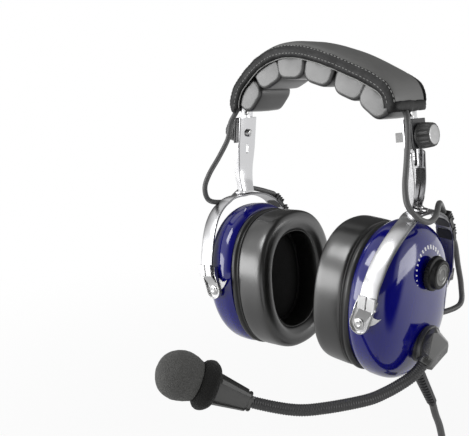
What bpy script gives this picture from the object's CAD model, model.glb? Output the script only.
from math import acos, asin, atan2, cos, degrees, pi, radians, sin, sqrt

import bmesh
import bpy
import numpy as np
from mathutils import Matrix, Vector, noise


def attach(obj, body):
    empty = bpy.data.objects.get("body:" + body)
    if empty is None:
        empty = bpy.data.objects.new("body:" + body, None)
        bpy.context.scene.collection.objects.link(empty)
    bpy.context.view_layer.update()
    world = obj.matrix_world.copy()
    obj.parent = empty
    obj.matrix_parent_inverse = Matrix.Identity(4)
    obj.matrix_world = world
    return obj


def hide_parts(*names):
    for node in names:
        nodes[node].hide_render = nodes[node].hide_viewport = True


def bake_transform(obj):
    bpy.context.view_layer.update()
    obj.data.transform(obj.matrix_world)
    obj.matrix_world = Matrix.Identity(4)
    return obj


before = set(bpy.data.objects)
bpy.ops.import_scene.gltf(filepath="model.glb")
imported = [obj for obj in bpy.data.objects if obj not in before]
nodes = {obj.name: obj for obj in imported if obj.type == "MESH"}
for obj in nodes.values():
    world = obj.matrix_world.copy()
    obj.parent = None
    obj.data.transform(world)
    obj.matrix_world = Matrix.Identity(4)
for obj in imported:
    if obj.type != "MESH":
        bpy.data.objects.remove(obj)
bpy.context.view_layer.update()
MM = 0.001

# ---- The part's own measures in millimetres, as its source has them, to the nearest 0.1 ----
hinge_span, hinge_low, rake = 132.8, 5.8, 2.8
tilt = {1: 5.5, -1: 2.4}
hinge_out, hinge_up = 44.8, 3.4
rim_w, rim_h, rim_t = 88, 107, 7.6
shell_w, shell_h, shell_d, shell_wall = 92.6, 112, 33.4, 2.4
seal_t, seal_w, seal_h, seal_ring = 24.4, 87.2, 106, 16.5
stirrup_rise, stirrup_out, stirrup_lean, stirrup_half = 68, 13, 6.9, 51.6
stirrup_w, stirrup_t, strip_low = 12.5, 1.4, 12
arm_lean, arm_hook, arm_bow_r, arm_straight, arm_t = 6, 9, 60, 24.4, 1.5
arm_w, arm_w_low, arm_flange, arm_top = 19, 13, 5.4, 12
band_r, band_bend_r, band_t, band_leg = 105, 22, 1, 21.4
pad_w, pad_back, pad_taper, pad_askew, band_skew, pad_h = 41, 2.4, 6, 4.5, 17, 17.6
cover_t, liner_t = 1.6, 2
vol_r, vol_h, vol_y, vol_z = 12, 8.4, 1, 26
boom_y, boom_z = 1, -26
cord_d, lead_d, relief_l, relief_d, branch_d = 5.6, 4, 49, 9, 4
coil_d, coil_n, coil_gap = 62, 6, 0.8
grip_l, grip_d = 34, 12
gap = 0.3


def vec(*a):
    return np.array(a, float)


def unit(v):
    return np.asarray(v, float)/np.linalg.norm(v)


def turn(v, a, i, j):
    """Points turned by a degrees, from axis i towards axis j."""
    m = np.eye(3)
    m[i, i] = m[j, j] = cos(radians(a))
    m[j, i] = sin(radians(a))
    m[i, j] = -m[j, i]
    return np.asarray(v, float) @ m.T


def turn_x(v, a):
    return turn(v, a, 1, 2)


def turn_y(v, a):
    return turn(v, a, 2, 0)


def turn_z(v, a):
    return turn(v, a, 0, 1)


def flip(s, v):
    return np.asarray(v, float)*[s, 1, 1]


hinge = vec(hinge_span/2, 0, -hinge_low)
swivel = hinge + [stirrup_out, 0, stirrup_rise]
arm_turn = arm_lean + stirrup_lean + arm_hook
arm_end = swivel + turn_y(vec(-6.4, 0, gap + arm_t/2), stirrup_lean)
clamp = arm_end - turn_y(vec(-arm_bow_r*(1 - cos(radians(arm_turn))), 0,
                             -arm_straight - arm_bow_r*sin(radians(arm_turn))), -arm_lean)
band_off = arm_t + 0.2 + band_t/2
leg_top = clamp + turn_y(vec(band_off, 0, band_leg), -arm_lean)
leg_slope = radians(90 - arm_lean)
band_turn = asin((leg_top[0] - band_bend_r*sin(leg_slope))/(band_r - band_bend_r))
crown_z = leg_top[2] + band_bend_r*(cos(band_turn) - cos(leg_slope)) + band_r*(1 - cos(band_turn))
crown_len = band_r*band_turn
half_len = crown_len + band_bend_r*(leg_slope - band_turn)
shell_x = seal_t + rim_t
crown_x = shell_x + shell_d


def to_cup(v, s=1):
    """Points of a cup, in millimetres, in the whole part's frame."""
    p = turn_x(np.asarray(v, float) + [-hinge_out, 0, hinge_up], rake)
    return flip(s, turn_x(hinge + turn_y(p, tilt[s]), -rake))


def to_stirrup(v, s=1):
    return flip(s, turn_x(swivel + turn_y(v, stirrup_lean), -rake))


def to_clamp(v, s=1):
    return flip(s, turn_x(clamp + turn_y(v, -arm_lean), -rake))


def raked(v):
    return turn_x(v, -rake)


def band_at(s, d):
    a, past = abs(s), abs(s) > crown_len
    u = band_turn + (a - crown_len)/band_bend_r if past else a/band_r
    r, k = (band_bend_r, band_r - band_bend_r) if past else (band_r, 0)
    return vec(np.sign(s)*(k*sin(band_turn) + (r + d)*sin(u)), crown_z - band_r + k*cos(band_turn)
               + (r + d)*cos(u))


def arch_at(s):
    """Middle of the flexed spring band at arc length s from the crown, in the X-Z plane."""
    if abs(s) <= half_len:
        u = s/half_len
        return band_at(s, 0) + [0, -band_skew*u*(1 - u*u)**2]
    e, p = abs(s) - half_len, band_at(np.sign(s)*half_len, 0)
    return p + [np.sign(s)*e*sin(radians(arm_lean)), -e*cos(radians(arm_lean))]


def band_normal(s):
    d = arch_at(s + 0.5) - arch_at(s - 0.5)
    return vec(-d[1], d[0])/np.linalg.norm(d)


def path_at(s, d):
    return arch_at(s) + d*band_normal(s)


def spline(p, m):
    """Smooth curve through points: the first and last points only set directions."""
    p, out = [np.asarray(q, float) for q in p], []
    for i in range(1, len(p) - 2):
        for j in range(m):
            t = j/m
            out.append(0.5*(2*p[i] + (p[i + 1] - p[i - 1])*t
                            + (2*p[i - 1] - 5*p[i] + 4*p[i + 1] - p[i + 2])*t*t
                            + (-p[i - 1] + 3*p[i] - 3*p[i + 1] + p[i + 2])*t**3))
    return np.array(out + [p[-2]])


def evenly(q, step):
    """The line again, with points step apart."""
    along = np.concatenate([[0], np.cumsum(np.linalg.norm(np.diff(q, axis=0), axis=1))])
    at = np.linspace(0, along[-1], max(2, round(along[-1]/step) + 1))
    return np.stack([np.interp(at, along, q[:, k]) for k in range(3)], axis=1)


def frames(q):
    """A side and an up direction at each point of a line, carried along it without twist."""
    t = np.gradient(q, axis=0)
    t /= np.linalg.norm(t, axis=1)[:, None]
    a = np.cross(t[0], [0.3, 0.2, 1])
    a /= np.linalg.norm(a)
    sides = []
    for d in t:
        a = a - (a @ d)*d
        a /= np.linalg.norm(a)
        sides.append(a)
    sides = np.array(sides)
    return sides, np.cross(t, sides), t


# ---- Materials ----

def node(tree, kind, inputs=(), **options):
    """A new node with its options set, and its inputs, by name or position, set or linked."""
    n = tree.nodes.new(kind)
    for key, value in options.items():
        setattr(n, key, value)
    for key, value in dict(inputs).items():
        if isinstance(value, bpy.types.NodeSocket):
            tree.links.new(value, n.inputs[key])
        else:
            n.inputs[key].default_value = value
    return n


# Each kind of bump: its texture node, inputs, options and output
bump_kinds = {"noise": ("ShaderNodeTexNoise", {"Detail": 4.0, "Roughness": 0.55}, {}, "Fac"),
              "grain": ("ShaderNodeTexVoronoi", {}, {"feature": "SMOOTH_F1"}, "Distance"),
              "pores": ("ShaderNodeTexVoronoi", {}, {"feature": "F1"}, "Distance")}
fine_depth = 0.05


def material(name, color, rough, metallic=0.0, vary=0.2, vary_scale=30, rough_vary=0.0, rough_scale=60,
             fine=None, bumps=(), coat=0.0, coat_rough=0.05, specular=0.5, sheen=0.0, stretch=None):
    """fine is the (scale, strength) of one shallow noise bump, for when bumps gives none. Each bump is (kind,
    scale, strength, distance in mm). stretch scales the coordinates of the first bump."""
    m = bpy.data.materials.new(name)
    m.use_nodes = True
    tree = m.node_tree
    shader = tree.nodes["Principled BSDF"]
    for key, value in (("Base Color", (*color, 1)), ("Roughness", rough), ("Metallic", metallic),
                       ("Coat Weight", coat), ("Coat Roughness", coat_rough),
                       ("Specular IOR Level", specular),
                       ("Sheen Weight", sheen)):
        shader.inputs[key].default_value = value
    place = node(tree, "ShaderNodeTexCoord").outputs["Object"]
    spots = node(tree, "ShaderNodeTexNoise",
                 {"Vector": place, "Scale": vary_scale, "Detail": 5.0, "Roughness": 0.6})
    low, high = [max(0, c*(1 - vary)) for c in color], [min(1, c*(1 + vary)) for c in color]
    mix = node(tree, "ShaderNodeMix", {"A": (*low, 1), "B": (*high, 1), "Factor": spots.outputs["Fac"]},
               data_type="RGBA")
    tree.links.new(mix.outputs["Result"], shader.inputs["Base Color"])
    if rough_vary:
        smears = node(tree, "ShaderNodeTexNoise",
                      {"Vector": place, "Scale": rough_scale, "Detail": 4.0, "Roughness": 0.6})
        spread = node(tree, "ShaderNodeMapRange",
                      {"Value": smears.outputs["Fac"], "From Min": 0.3, "From Max": 0.7,
                       "To Min": max(0.02, rough - rough_vary), "To Max": rough + rough_vary})
        tree.links.new(spread.outputs["Result"], shader.inputs["Roughness"])
    if fine:
        bumps = [("noise", *fine, fine_depth)]
    last = None
    for i, (kind, scale, strength, distance) in enumerate(bumps):
        at = place
        if i == 0 and stretch:
            at = node(tree, "ShaderNodeMapping", {"Vector": place, "Scale": stretch}).outputs["Vector"]
        texture, values, options, output = bump_kinds[kind]
        height = node(tree, texture, {"Vector": at, "Scale": scale, **values}, **options).outputs[output]
        bump = node(tree, "ShaderNodeBump", {"Height": height, "Strength": strength, "Distance": distance*MM})
        if last:
            tree.links.new(last, bump.inputs["Normal"])
        last = bump.outputs["Normal"]
    if last:
        tree.links.new(last, shader.inputs["Normal"])
    return m


chrome = material("polished_steel", (0.62, 0.62, 0.63), 0.13, 1.0, vary=0.04, rough_vary=0.03,
                  bumps=[("noise", 900, 0.05, 0.05), ("noise", 45, 0.12, 0.5)])
satin_steel = material("satin_steel", (0.64, 0.64, 0.65), 0.3, 1.0, vary=0.04, vary_scale=160,
                       rough_vary=0.05, bumps=[("noise", 900, 0.10, 0.03)], stretch=(1, 0.12, 0.12))
sheared_steel = material("sheared_steel", (0.16, 0.16, 0.165), 0.4, 1.0, vary=0.3, vary_scale=600,
                         fine=(900, 0.2))
band_steel = material("spring_steel", (0.70, 0.70, 0.71), 0.2, 1.0, vary=0.06, rough_vary=0.05,
                      fine=(700, 0.1))
rivet_steel = material("rivet_steel", (0.6, 0.6, 0.6), 0.3, 1.0, vary=0.04, rough_vary=0.03, fine=(900, 0.03))
blue_paint = material("blue_shell_paint", (0.001, 0.001, 0.145), 0.14, vary=0.05, vary_scale=18,
                      rough_vary=0.02, coat=1.0, coat_rough=0.07, specular=0.3, fine=(420, 0.03))
seal_leather = material("seal_vinyl", (0.009, 0.009, 0.0085), 0.34, rough_vary=0.03, specular=0.95, coat=0.55,
                        coat_rough=0.22, bumps=[("grain", 1500, 0.08, 0.04), ("noise", 40, 0.05, 0.5)])
cell_leather = material("cell_leather", (0.009, 0.009, 0.0085), 0.38, rough_vary=0.03, specular=1.0,
                        coat=0.45, coat_rough=0.34,
                        bumps=[("grain", 1100, 0.1, 0.05), ("noise", 50, 0.05, 0.6)])
cover_leather = material("cover_leather", (0.125, 0.125, 0.122), 0.5, rough_vary=0.06, specular=0.6,
                         bumps=[("grain", 900, 0.3, 0.08), ("noise", 60, 0.2, 0.9)])
hem_leather = material("hem_leather", (0.006, 0.006, 0.006), 0.5, vary=0.35, rough_vary=0.08, specular=0.3,
                       bumps=[("noise", 320, 0.5, 0.5), ("grain", 900, 0.3, 0.1)])
thread = material("grey_thread", (0.24, 0.24, 0.235), 0.5, vary=0.3, vary_scale=300,
                  bumps=[("noise", 2500, 0.4, 0.1)])
welt_vinyl = material("welt_vinyl", (0.1, 0.1, 0.098), 0.4, specular=0.8, fine=(900, 0.1))
rim_rubber = material("rim_rubber", (0.02, 0.02, 0.02), 0.34, rough_vary=0.05,
                      bumps=[("noise", 900, 0.12, 0.06)])
black_plastic = material("black_plastic", (0.028, 0.028, 0.03), 0.38, rough_vary=0.06, fine=(1400, 0.2))
dial_plastic = material("dial_plastic", (0.006, 0.006, 0.006), 0.42, rough_vary=0.05, specular=0.35,
                        fine=(1600, 0.2))
knob_plastic = material("knob_plastic", (0.055, 0.055, 0.055), 0.4, rough_vary=0.06, fine=(1600, 0.2))
boom_plastic = material("boom_plastic", (0.055, 0.055, 0.053), 0.3, rough_vary=0.05, specular=0.95,
                        fine=(1200, 0.15))
face_metal = material("brushed_face", (0.42, 0.42, 0.42), 0.36, 1.0, vary=0.12, vary_scale=200,
                      rough_vary=0.08, fine=(500, 0.3), stretch=(1, 1, 9))
dish_metal = material("dark_metal", (0.17, 0.17, 0.165), 0.34, 1.0, vary=0.15, vary_scale=200,
                      rough_vary=0.06, fine=(700, 0.2))
cord_rubber = material("cord_rubber", (0.09, 0.09, 0.09), 0.42, rough_vary=0.06, fine=(1300, 0.2))
boom_rubber = material("boom_rubber", (0.045, 0.045, 0.046), 0.4, vary=0.25, rough_vary=0.06,
                       fine=(1600, 0.25))
open_foam = material("open_foam", (0.08, 0.08, 0.077), 0.95, vary=0.6, vary_scale=900, specular=0.2,
                     sheen=0.1, bumps=[("pores", 1100, 0.8, 0.5), ("noise", 2200, 0.6, 0.3)])
ring_foam = material("ring_foam", (0.011, 0.011, 0.0105), 0.95, vary=0.5, vary_scale=900, specular=0.2,
                     sheen=0.1, bumps=[("pores", 1100, 0.8, 0.5), ("noise", 2200, 0.6, 0.3)])
dark_fabric = material("dark_fabric", (0.012, 0.012, 0.012), 0.9, vary=0.4, vary_scale=500, specular=0.2,
                       bumps=[("pores", 1500, 0.5, 0.2)])
speaker_plastic = material("speaker_plastic", (0.06, 0.06, 0.06), 0.55, fine=(1300, 0.2))
board_green = material("board_green", (0.02, 0.12, 0.04), 0.4, vary_scale=120, fine=(900, 0.2))
mic_metal = material("mic_metal", (0.3, 0.3, 0.3), 0.4, 1.0, vary=0.1, fine=(900, 0.2))
plug_brass = material("plug_brass", (0.78, 0.6, 0.27), 0.2, 1.0, vary=0.08, rough_vary=0.05, fine=(800, 0.06))
white_print = material("white_print", (0.75, 0.75, 0.76), 0.4, vary=0.05, vary_scale=400,
                       bumps=[("noise", 1500, 0.1, 0.03)])


# ---- Building meshes ----

def piece(name, points, faces, mat, body=None, slot=None, replaces=(), smooth=40):
    """A mesh from points in millimetres. smooth is the sharpest edge, in degrees, that is shaded smooth."""
    mesh = bpy.data.meshes.new(name)
    mesh.from_pydata([tuple(p) for p in np.asarray(points, float)*MM], [],
                     [tuple(int(i) for i in f) for f in faces])
    bm = bmesh.new()
    bm.from_mesh(mesh)
    bmesh.ops.recalc_face_normals(bm, faces=bm.faces)
    for f in bm.faces:
        f.smooth = True
    for e in bm.edges:
        e.smooth = not e.is_manifold or e.calc_face_angle(0) < radians(smooth)
    bm.to_mesh(mesh)
    bm.free()
    o = bpy.data.objects.new(name, mesh)
    bpy.context.scene.collection.objects.link(o)
    mesh.materials.append(mat)
    if body:
        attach(o, body)
    if replaces:
        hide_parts(*replaces)
    return o


def lofted(rings, closed=False, ends=True):
    """Points and faces of a skin through rings of equal count; closed joins the last ring to the first."""
    m, n = len(rings), len(rings[0])
    pts, faces = [p for g in rings for p in g], []
    for i in range(m if closed else m - 1):
        for k in range(n):
            a, b, j = i*n + k, i*n + (k + 1) % n, (i + 1) % m
            faces.append([a, b, j*n + (k + 1) % n, j*n + k])
    if not closed and ends:
        for i in (0, m - 1):
            pts.append(np.mean(rings[i], axis=0))
            hub = len(pts) - 1
            faces += [[hub, i*n + k, i*n + (k + 1) % n] for k in range(n)]
    return np.array(pts), faces


def joined(*shapes):
    """Several (points, faces) as one."""
    pts, faces, n = [], [], 0
    for p, f in shapes:
        pts.append(np.asarray(p, float))
        faces += [[i + n for i in g] for g in f]
        n += len(p)
    return np.concatenate(pts), faces


def tube(q, r, n=16, ends=True):
    """Skin round a line; r is a number or one for each point."""
    q = np.asarray(q, float)
    a, b, _ = frames(q)
    r = np.broadcast_to(r, len(q))
    turns = [2*pi*k/n for k in range(n)]
    return lofted([[q[i] + r[i]*(cos(t)*a[i] + sin(t)*b[i]) for t in turns] for i in range(len(q))],
                  ends=ends)


def lathe(profile, n=48, cut=None):
    """(radius, height) pairs turned round local z; cut gives the depth taken off at (r, z, angle)."""
    rings = []
    for r, z in profile:
        ring = []
        for a in (2*pi*k/n for k in range(n)):
            d = r - cut(r, z, a) if cut else r
            ring.append(vec(d*cos(a), d*sin(a), z))
        rings.append(ring)
    return lofted(rings)


def rounded(profile, r=0.4, steps=3):
    """The profile again with its corners rounded."""
    p = [vec(*q) for q in profile]
    out = [p[0]]
    for i in range(1, len(p) - 1):
        a, b = p[i - 1] - p[i], p[i + 1] - p[i]
        la, lb = np.linalg.norm(a), np.linalg.norm(b)
        cut = min(r, 0.45*la, 0.45*lb)
        s, e = p[i] + a/la*cut, p[i] + b/lb*cut
        for k in range(steps + 1):
            t = k/steps
            out.append((1 - t)**2*s + 2*t*(1 - t)*p[i] + t*t*e)
    return out + [p[-1]]


def along_x(shape, x=0, y=0, z=0):
    """A shape turned round local z, laid along +X at that place."""
    p, f = shape
    return np.stack([p[:, 2] + x, p[:, 1] + y, -p[:, 0] + z], axis=1), f


def placed(shape, place, *args):
    return place(shape[0], *args), shape[1]


def oval(x, a, b, k, lift=0, n=96):
    out = []
    for i in range(n):
        c, s = cos(2*pi*i/n), sin(2*pi*i/n)
        out.append([x, np.sign(c)*a*abs(c)**(2/k), np.sign(s)*b*abs(s)**(2/k) + lift])
    return out


# Unseeded, noise_vector is shifted by the clock, and each run gives other shapes
noise_seed = 1795517182
noise.seed_set(noise_seed)


def ruffle(points, scale, amount, seed=0.0):
    """Points moved by smooth noise: amount in millimetres, scale in millimetres across one wave."""
    out = np.array(points, float)
    for i, p in enumerate(out):
        q = Vector(p/scale) + Vector((seed, seed*1.7, -seed))
        out[i] = p + amount*np.array(noise.noise_vector(q))
    return out


# Faces of a block given by the corners of its near face, then those of its far face
block_faces = [[0, 1, 2, 3], [7, 6, 5, 4], [0, 4, 5, 1], [1, 5, 6, 2], [2, 6, 7, 3], [3, 7, 4, 0]]


def edged(o, width=0.4, segments=2, angle=35):
    m = o.modifiers.new("edges", "BEVEL")
    m.width, m.segments, m.limit_method, m.angle_limit = width*MM, segments, "ANGLE", radians(angle)
    m.harden_normals = False
    return o


# ---- Camera ----

def aim_camera():
    """The photo's view, fitted to it: where the camera stands, how it turns off the origin, and its lens."""
    phi, tip, yaw, pitch, roll = np.radians([37.53, 17.17, 6.64, 5.22, -3.72])
    far, photo_width, focal = 0.560, 469, 736.14
    back = vec(sin(phi)*cos(tip), -cos(phi)*cos(tip), sin(tip))
    right = unit(np.cross(-back, [0, 0, 1]))
    up = np.cross(right, -back)
    ahead = unit(-back*cos(yaw)*cos(pitch) - right*sin(yaw) + up*sin(pitch))
    right = unit(np.cross(ahead, [0, 0, 1]))
    up = np.cross(right, ahead)
    across = right*cos(roll) + up*sin(roll)
    above = -right*sin(roll) + up*cos(roll)
    data = bpy.data.cameras.new("camera")
    data.sensor_width = 36
    data.lens = focal*data.sensor_width/photo_width
    cam = bpy.data.objects.new("camera", data)
    cam.matrix_world = Matrix([[across[i], above[i], -ahead[i], back[i]*far] for i in range(3)]
                              + [[0, 0, 0, 1]])
    bpy.context.scene.collection.objects.link(cam)
    bpy.context.scene.camera = cam


aim_camera()

# ---- Main cord, coil and the leads to the plugs ----

gland_x, gland_y, gland_z = shell_x + 0.54*shell_d, 0.14*shell_w, -0.4152*shell_h
gland_tilt, gland_out = 36, 12


def gland_point(d):
    return to_cup([gland_x, gland_y + d*sin(radians(gland_tilt)), gland_z - d*cos(radians(gland_tilt))])


relief_end = gland_point(gland_out + relief_l)
cord_points = [[64, 51.5, -109], [65, 55.8, -120], [65, 60.5, -134], [61, 71, -151], [53, 81, -168],
               [48.4, 84, -184]]
coil_mid, coil_r, coil_pitch = vec(66, 52, -205), coil_d/2, cord_d + coil_gap


def coil_at(t):
    return coil_mid + [coil_pitch*(t - coil_n/2), coil_r*sin(2*pi*t), coil_r*cos(2*pi*t)]


coil_last = coil_at(coil_n + 0.5)
coil_out = coil_last + [0, -2*cord_d, 0]
cord_route = spline([gland_point(gland_out + relief_l - 12), relief_end] + cord_points
                    + [coil_at(0.25) + [0, 0, cord_d], coil_at(0.25)], 10)
turns = [coil_at(0.25 + k/32) for k in range(int((coil_n + 0.25)*32) + 1)]
main_line = np.concatenate([cord_route, turns, [coil_out - [0, 1.5, 0]]])
main_cord = piece("main_cord_rubber", *tube(main_line, cord_d/2, 12), cord_rubber, "cup_left", "cord_rubber",
                  ["main_cord", "cord_coil"], smooth=60)

split_to = coil_out + [0, -26, 0]
plug_y, plug_z = -78, -222
for f in (-1, 1):
    plug_x = coil_last[0] + f*11
    line = spline([split_to + [f*4, 12, 0], split_to + [f*4, 0, 0], split_to + [f*5, -14, 2],
                   [plug_x, split_to[1] - 40, plug_z - 12], [plug_x, plug_y + 22, plug_z - 3],
                   [plug_x, plug_y, plug_z], [plug_x, plug_y - 12, plug_z]], 8)
    name = "phone" if f < 0 else "mic"
    lead = piece(name + "_lead", *tube(line, branch_d/2, 12), cord_rubber, "cup_left", "cord_rubber",
                 smooth=60)
    ribs = [(0, 0), (branch_d/2 + 0.6, 0)]
    for k in range(5):
        r = branch_d/2 + 0.9 + 0.35*k
        ribs += [(r, 0.8 + 1.9*k), (r, 2.1 + 1.9*k), (r - 0.8, 2.15 + 1.9*k), (r - 0.8, 2.65 + 1.9*k)]
    body = [(grip_d/2 - 1.2, 10.8), (grip_d/2, 11.8), (grip_d/2, 15)]
    for k in range(8):
        z = 15 + 1.8*k
        body += [(grip_d/2, z), (grip_d/2 - 0.35, z + 0.3), (grip_d/2 - 0.35, z + 0.7), (grip_d/2, z + 1)]
    grip = lathe(ribs + body + rounded([(grip_d/2, 31), (grip_d/2, grip_l), (0, grip_l)], 1)[1:], 40)
    pts = turn_x(grip[0], 90) + [plug_x, plug_y, plug_z]
    handle = piece(name + "_plug_grip", pts, grip[1], black_plastic, "cup_left", "black_plastic", smooth=50)
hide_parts("branch_leads")
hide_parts("plug_grips")

# A tie round the coil's loops, at the front
tie_turn = [2*pi*k/40 for k in range(40)]
tie_y, tie_z = coil_mid[1] - coil_r, coil_mid[2]
tie_half, tie_deep = coil_pitch*coil_n/2 + cord_d/2 + 1.2, cord_d/2 + 0.9
tie_rings = []
for t in tie_turn:
    c, s = cos(t), sin(t)
    at = vec(np.sign(c)*tie_half*abs(c)**0.5, np.sign(s)*tie_deep*abs(s)**0.5, 0)
    out = unit([c/tie_half, s/tie_deep, 0])
    tie_rings.append([coil_mid*[1, 0, 0] + [0, tie_y, tie_z] + at + out*d + [0, 0, z]
                      for d, z in ((0, -6), (0.9, -6), (1.1, -5.4), (1.1, 5.4), (0.9, 6), (0, 6))])
piece("coil_tie", *lofted(tie_rings, closed=True), dark_fabric, "cup_left", "pad_fabric")

# Strain relief: tapered, with open ribs
gland = [(0, -3), (relief_d/2 + 0.5, -3), (relief_d/2 + 0.5, gland_out - 1), (relief_d/2 - 0.4, gland_out)]
rib_n, rib_pitch = 12, 3.85
for k in range(rib_n):
    z = gland_out + 0.4 + rib_pitch*k
    r = relief_d/2 + 0.1 - (relief_d/2 - cord_d/2 - 0.9)*k/(rib_n - 1)
    gland += [(r - 1.2, z), (r - 1.2, z + 1.3), (r - 0.3, z + 1.4), (r, z + 1.7), (r, z + 3.5),
              (r - 0.3, z + 3.8)]
gland += [(cord_d/2 + 0.5, gland_out + relief_l - 2.2), (cord_d/2 + 0.4, gland_out + relief_l),
          (0, gland_out + relief_l)]
shape = lathe(gland, 40)
gland_pts = turn_x(shape[0], 180 + gland_tilt) + [gland_x, gland_y, gland_z]
relief_shape = (to_cup(gland_pts), shape[1])
spines = []
for side_turn in (0, 180):
    bar = [vec(x, y, z) for z in (gland_out, gland_out + relief_l - 3)
           for x, y in ((-1.3, 0), (1.3, 0), (1.3, 1), (-1.3, 1))]
    wide, thin = relief_d/2 - 1.1, cord_d/2 + 0.2
    bar = [b + [0, wide if b[2] < gland_out + 1 else thin, 0] for b in bar]
    bar = turn_z(bar, side_turn + 90)
    pts = to_cup(turn_x(bar, 180 + gland_tilt) + [gland_x, gland_y, gland_z])
    spines.append((pts, block_faces))
piece("strain_relief", *joined(relief_shape, *spines), black_plastic, "cup_left", "black_plastic",
      ["cord_gland"], smooth=35)

# ---- Side leads ----
bow_k = 2.7
clip_up, clip_l = lead_d/2 + 1.4, 9
clip_angles = (50, 36)


def on_bow(a, half=stirrup_half, rise=stirrup_rise):
    c, s = cos(radians(a)), sin(radians(a))
    return vec(np.sign(c)*half*abs(c)**(2/bow_k), -stirrup_rise + rise*abs(s)**(2/bow_k))


def bow_slope(a):
    d = on_bow(a + 0.5) - on_bow(a - 0.5)
    return atan2(d[1], d[0])


def clip_mid(a, h=clip_up + 0.1):
    p, t = on_bow(a), bow_slope(a) + pi
    return to_stirrup([0, p[0] - h*sin(t), p[1] + h*cos(t)])


def clip_dir(a):
    t = bow_slope(a) + pi
    return raked(turn_y([0, cos(t), sin(t)], stirrup_lean))


def clip_end(a, f):
    return clip_mid(a) + f*(clip_l/2)*clip_dir(a)


entry_x, entry_y, entry_z = shell_x + 22.6, 40, -18
upper = {1: [[78, -7, 125], [79, -8, 112], [79, -10, 96], [80, -14, 81]],
         -1: [[-78, -8, 120], [-79, -11, 108], [-81, -20, 95], [-82, -31, 83]]}
middle = {1: [[84, -18, 70], [88.8, -14, 61.5], [90, -3, 56.5], [89.2, 8, 58], [86.6, 18, 65]],
          -1: [[-83, -36, 73], [-85, -32, 63], [-88, -20, 58], [-89, -4, 57], [-87, 14, 64]]}
lower = [[79, 54, 29], [80, 57, 12], [81, 60, -5], [82, 56, -18]]


def band_lead_at(s):
    p = path_at(s, 0.9)
    return raked([p[0], -9.8, p[1]])


sides = {1: "left", -1: "right"}
for s, side in sides.items():
    a, b = [vec(*p) for p in upper[s]], [vec(*p) for p in middle[s]]
    top = [band_lead_at(s*(half_len - 3)), band_lead_at(s*(half_len + 2.4))]
    up_line = spline(top + a + [b[0]], 8)
    mid_line = spline([a[-2], a[-1]] + b + [flip(s, p) for p in (
        clip_end(clip_angles[0], -1.8), clip_end(clip_angles[0], -0.9), clip_end(clip_angles[0], 0.9),
        clip_end(clip_angles[1], -0.9), clip_mid(clip_angles[1]), clip_end(clip_angles[1], 1))], 8)
    entry = to_cup([entry_x, entry_y, entry_z], s)
    low_line = spline([flip(s, clip_mid(clip_angles[1]) - clip_dir(clip_angles[1])),
                       flip(s, clip_mid(clip_angles[1])),
                       flip(s, clip_end(clip_angles[1], 1.3))] + [flip(s, p) for p in lower]
                      + [entry, entry + [-8*s, -10, -1]], 8)
    for part, line, parent, child in (("upper", up_line, "headband", "arm_" + side),
                                      ("middle", mid_line, "arm_" + side, "stirrup_" + side),
                                      ("lower", low_line, "stirrup_" + side, "cup_" + side)):
        o = piece(f"lead_{part}_{side}_rubber", *tube(line, lead_d/2, 14), cord_rubber, None, "cord_rubber",
                  [f"lead_{part}_{side}"], smooth=60)
        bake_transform(o)

band_line = np.array([band_lead_at(s) for s in np.linspace(-half_len - 2.4, half_len + 2.4, 80)])
o = piece("band_lead_rubber", *tube(band_line, 1.3, 12), cord_rubber, "headband", "cord_rubber",
          ["band_lead"], smooth=60)

# ---- Headband: cover, liner and cells ----
cover_h, cover_low, cover_drop = 6.4, 3, 2.4
liner_in = band_t/2 + 0.25
liner_face = -liner_in - liner_t
pad_reach = half_len - 1


def share(s):
    return min(abs(s)/half_len, 1)


def pad_front(s):
    return pad_w/2 - pad_back + pad_askew*s/half_len


def pad_rear(s):
    return pad_w/2 + pad_back - pad_askew*s/half_len - pad_taper*share(s)**2.2


def cover_up(s):
    return cover_h - cover_low*share(s)**3


def cover_section(s, n=26):
    """Outer line of the cover from back hem to front hem and the inner line back, as (y, height)."""
    f, b, h = pad_front(s), pad_rear(s), cover_up(s)
    outer, inner = [], []
    for i in range(n + 1):
        a = pi*i/n
        c, w = cos(a), sin(a)
        outer.append(vec((b + cover_t if c > 0 else -f - cover_t)*abs(c)**0.6, h*max(w, 0)**0.7))
        inner.append(vec((b + 0.2 if c > 0 else -f - 0.2)*abs(c)**0.6, (h - cover_t + 0.2)*max(w, 0)**0.7))
    out = [vec(b + cover_t + 0.1, -cover_drop)] + outer[1:-1] + [vec(-f - cover_t - 0.1, -cover_drop)]
    ins = [vec(-f - 0.3, -cover_drop)] + inner[::-1][1:-1] + [vec(b + 0.3, -cover_drop)]
    return out + ins


def on_cover(s, y, h):
    p = path_at(s, band_t/2 + h)
    return raked([p[0], y, p[1]])


steps = np.linspace(-half_len - 1, half_len + 1, 90)
cover = lofted([[on_cover(s, y, h) for y, h in cover_section(s)] for s in steps])
cover = (ruffle(cover[0], 14, 0.35), cover[1])
o = piece("band_cover_leather", *cover, cover_leather, "headband", "cover_leather", ["band_cover"], smooth=70)

# Hem: a folded band along the cover's front and back, stitched above, with a thin piping below
def hem_point(side_y, s, out, up):
    y = -(pad_front(s) + out) if side_y < 0 else pad_rear(s) + out
    return on_cover(s, y, up)


def stitch(a, b):
    """A thread from a to b, thin where it enters the leather."""
    return tube(np.array([a, a*0.75 + b*0.25, (a + b)/2, a*0.25 + b*0.75, b]), [0.1, 0.26, 0.3, 0.26, 0.1], 6)


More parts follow.
